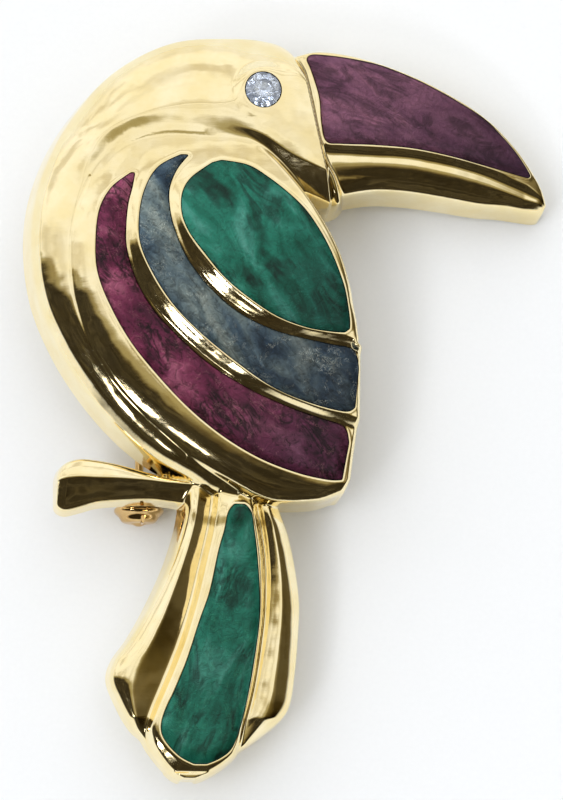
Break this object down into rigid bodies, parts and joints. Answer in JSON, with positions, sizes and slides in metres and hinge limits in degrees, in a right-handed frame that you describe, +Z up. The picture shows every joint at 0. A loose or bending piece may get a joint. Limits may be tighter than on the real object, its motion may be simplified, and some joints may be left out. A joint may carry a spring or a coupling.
{
  "type": "figural animal brooch",
  "caption": "Gilt toucan brooch with a cast relief body on a perch, enamelled wing, tail and beak, a clear round eye stone and a pin back.",
  "frame": {"origin": "under the middle of the brooch's box, on the surface that it lies on", "axes": "+Y from the tail to the head, +X from the nape to the beak, +Z up out of the enamelled face; the brooch lies on its pin back and the tip of its beak"},
  "size_m": [0.0406, 0.0578, 0.0107],
  "materials": {
    "gold_plate": "polished gilt",
    "plum_enamel": "glossy marbled",
    "slate_enamel": "glossy marbled",
    "emerald_enamel": "glossy marbled",
    "clear_stone": "faceted"
  },
  "bodies": {
    "root": {"bird_casting": "gold_plate", "beak_enamel": "plum_enamel", "wing_outer_enamel": "plum_enamel", "wing_middle_enamel": "slate_enamel", "wing_inner_enamel": "emerald_enamel", "tail_enamel": "emerald_enamel", "eye_stone": "clear_stone", "pin_back": "gold_plate"}
  },
  "joints": []
}
